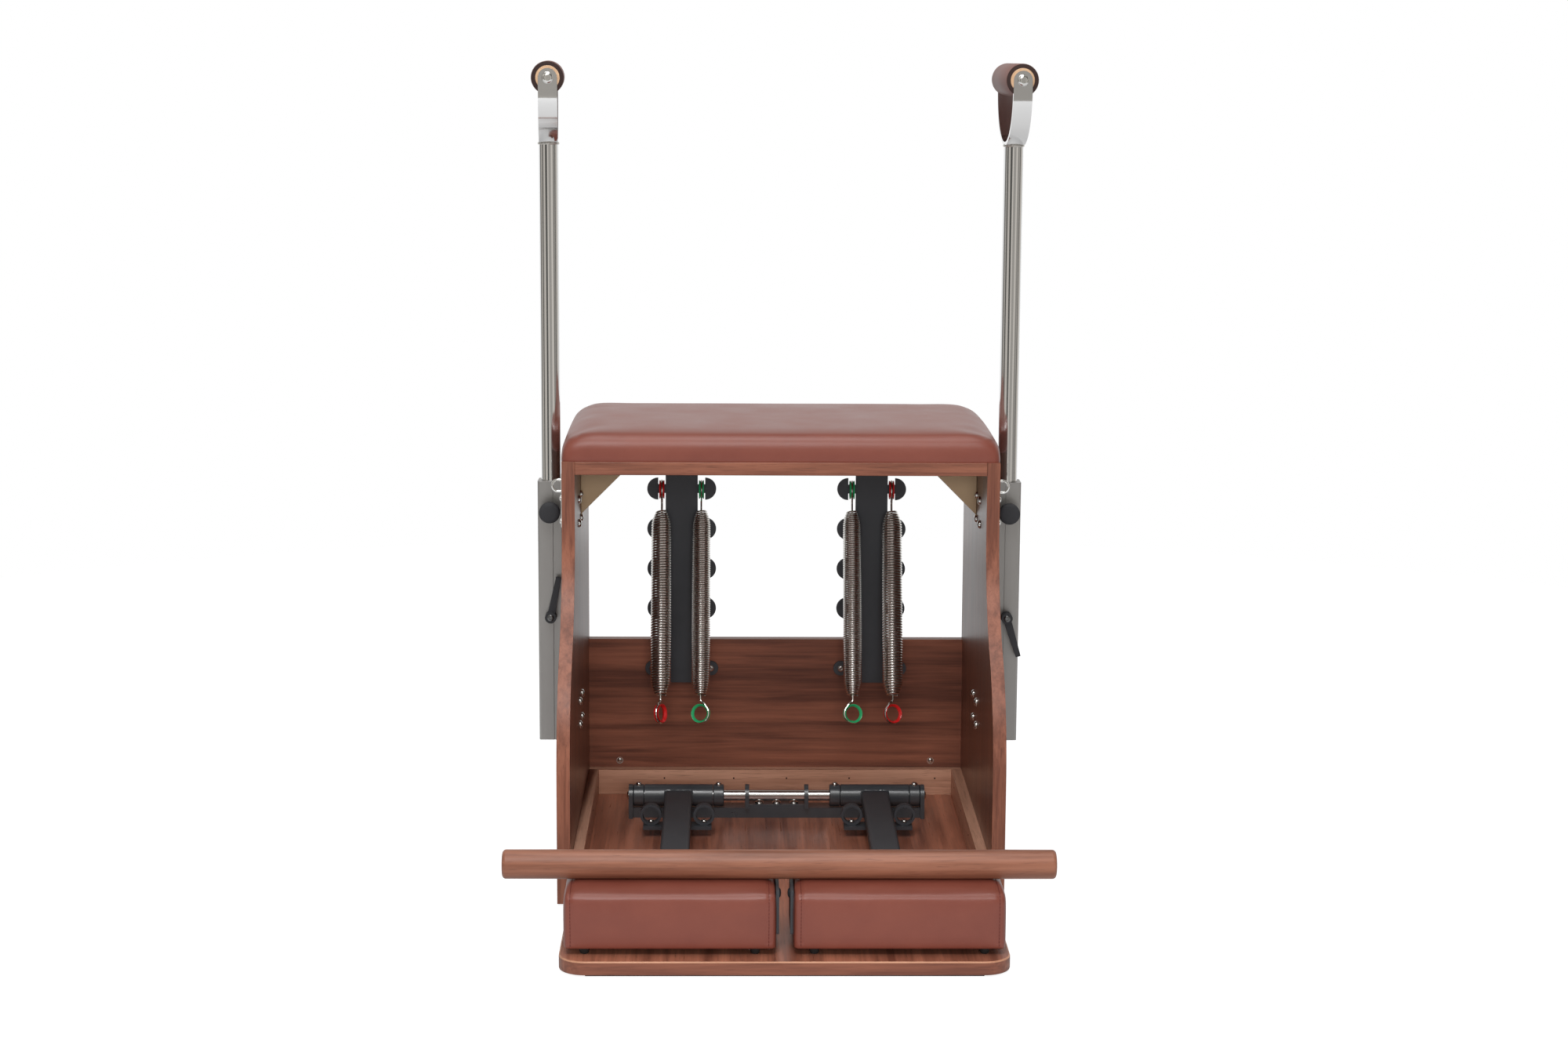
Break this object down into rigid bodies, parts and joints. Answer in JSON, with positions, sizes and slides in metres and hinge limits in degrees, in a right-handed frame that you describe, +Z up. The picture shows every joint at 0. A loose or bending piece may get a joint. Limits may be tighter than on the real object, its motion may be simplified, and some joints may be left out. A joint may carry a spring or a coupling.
{
  "type": "pilates chair",
  "caption": "Wooden exercise chair with a padded seat, sprung foot pedals on a low axle, a loose cross dowel and height-adjustable handles on posts at the sides.",
  "frame": {"origin": "on the floor under the middle of the base plate", "axes": "+Z up, +Y to the back of the chair, +X to the right seen from the front"},
  "size_m": [0.7031, 0.8362, 1.1185],
  "materials": {
    "walnut": "oiled wood, satin",
    "dowel_wood": "stained hardwood, satin",
    "plain_wood": "plain wood, unfinished",
    "leather": "brown upholstery leather, soft sheen",
    "grip_cover": "dark brown wrapped cover",
    "rubber": "black, matte",
    "black_steel": "black powder coat",
    "polished_steel": "polished",
    "bright_fastener": "bright plated",
    "spring_steel": "bright spring wire",
    "aluminium": "satin anodised",
    "black_plastic": "moulded, satin",
    "bronze": "sintered bronze",
    "red_eye": "red, gloss",
    "green_eye": "green, gloss"
  },
  "bodies": {
    "chair": {"base_plate": "walnut", "base_feet": "rubber", "left_panel": "walnut", "right_panel": "walnut", "seat_board": "walnut", "seat_cushion": "leather", "back_board": "walnut", "floor_rails": "walnut", "corner_gussets": "plain_wood", "spring_plates": "black_steel", "wood_screws": "bright_fastener", "axle_bar": "black_steel", "centre_bracket": "black_steel", "axle_bolts": "bright_fastener", "axle_shaft": "polished_steel", "shaft_collars": "black_steel", "collar_screws": "bright_fastener", "left_sleeve": "aluminium", "right_sleeve": "aluminium", "sleeve_mounts": "black_steel", "sleeve_bolts": "bright_fastener", "strap_eyes": "polished_steel", "plunger_housings": "polished_steel"},
    "left_pedal": {"left_pedal_frame": "black_steel", "left_hub_bushes": "bronze", "left_ring_eyes": "black_steel", "left_eye_bolts": "bright_fastener", "left_pedal_board": "black_plastic", "left_pedal_pad": "leather", "left_pad_end_cap": "black_steel", "left_pedal_feet": "rubber"},
    "right_pedal": {"right_pedal_frame": "black_steel", "right_hub_bushes": "bronze", "right_ring_eyes": "black_steel", "right_eye_bolts": "bright_fastener", "right_pedal_board": "black_plastic", "right_pedal_pad": "leather", "right_pad_end_cap": "black_steel", "right_pedal_feet": "rubber"},
    "dowel": {"pedal_dowel": "dowel_wood"},
    "left_handle": {"left_handle_frame": "polished_steel", "left_grip_bolt": "bright_fastener"},
    "left_grip": {"left_grip_core": "plain_wood", "left_grip_sleeve": "grip_cover"},
    "left_plunger": {"left_knob": "black_plastic"},
    "left_clamp": {"left_lever": "black_plastic"},
    "left_inner_spring": {"left_inner_spring": "spring_steel", "left_inner_spring_eyes": "green_eye"},
    "left_outer_spring": {"left_outer_spring": "spring_steel", "left_outer_spring_eyes": "red_eye"},
    "right_handle": {"right_handle_frame": "polished_steel", "right_grip_bolt": "bright_fastener"},
    "right_grip": {"right_grip_core": "plain_wood", "right_grip_sleeve": "grip_cover"},
    "right_plunger": {"right_knob": "black_plastic"},
    "right_clamp": {"right_lever": "black_plastic"},
    "right_inner_spring": {"right_inner_spring": "spring_steel", "right_inner_spring_eyes": "green_eye"},
    "right_outer_spring": {"right_outer_spring": "spring_steel", "right_outer_spring_eyes": "red_eye"}
  },
  "joints": [
    {"name": "left_pedal_press", "type": "hinge", "parent": "chair", "child": "left_pedal", "pos_m": [0, 0.26, 0.053], "axis": [-1, 0, 0], "range_deg": [0, 45]},
    {"name": "right_pedal_press", "type": "hinge", "parent": "chair", "child": "right_pedal", "pos_m": [0, 0.26, 0.053], "axis": [-1, 0, 0], "range_deg": [0, 45]},
    {"name": "dowel_lift", "type": "slide", "parent": "left_pedal", "child": "dowel", "axis": [0, 0, 1], "range_m": [0, 0.2]},
    {"name": "left_handle_slide", "type": "slide", "parent": "chair", "child": "left_handle", "axis": [0, 0, 1], "range_m": [0, 0.16]},
    {"name": "left_grip_spin", "type": "hinge", "parent": "left_handle", "child": "left_grip", "pos_m": [-0.322, 0.165, 1.096], "axis": [-0.0523, 0.9986, 0], "continuous": true},
    {"name": "left_plunger_pull", "type": "slide", "parent": "chair", "child": "left_plunger", "axis": [0, -1, 0], "range_m": [0, 0.008], "stiffness_N_per_m": 800, "springref_m": -0.003},
    {"name": "left_clamp_turn", "type": "hinge", "parent": "chair", "child": "left_clamp", "pos_m": [-0.322, 0.139, 0.344], "axis": [0, -1, 0], "range_deg": [0, 150]},
    {"name": "left_inner_spring_swing", "type": "hinge", "parent": "chair", "child": "left_inner_spring", "pos_m": [-0.1125, 0.3955, 0.487], "axis": [-1, 0, 0], "range_deg": [0, 30]},
    {"name": "left_outer_spring_swing", "type": "hinge", "parent": "chair", "child": "left_outer_spring", "pos_m": [-0.1715, 0.3955, 0.487], "axis": [-1, 0, 0], "range_deg": [0, 30]},
    {"name": "right_handle_slide", "type": "slide", "parent": "chair", "child": "right_handle", "axis": [0, 0, 1], "range_m": [0, 0.16]},
    {"name": "right_grip_spin", "type": "hinge", "parent": "right_handle", "child": "right_grip", "pos_m": [0.322, 0.165, 1.096], "axis": [-0.0523, 0.9986, 0], "continuous": true},
    {"name": "right_plunger_pull", "type": "slide", "parent": "chair", "child": "right_plunger", "axis": [0, -1, 0], "range_m": [0, 0.008], "stiffness_N_per_m": 800, "springref_m": -0.003},
    {"name": "right_clamp_turn", "type": "hinge", "parent": "chair", "child": "right_clamp", "pos_m": [0.322, 0.139, 0.344], "axis": [0, -1, 0], "range_deg": [0, 150]},
    {"name": "right_inner_spring_swing", "type": "hinge", "parent": "chair", "child": "right_inner_spring", "pos_m": [0.1125, 0.3955, 0.487], "axis": [-1, 0, 0], "range_deg": [0, 30]},
    {"name": "right_outer_spring_swing", "type": "hinge", "parent": "chair", "child": "right_outer_spring", "pos_m": [0.1715, 0.3955, 0.487], "axis": [-1, 0, 0], "range_deg": [0, 30]}
  ],
  "couplings": [
    {"joint": "right_pedal_press", "follows": "left_pedal_press", "ratio": 1}
  ]
}
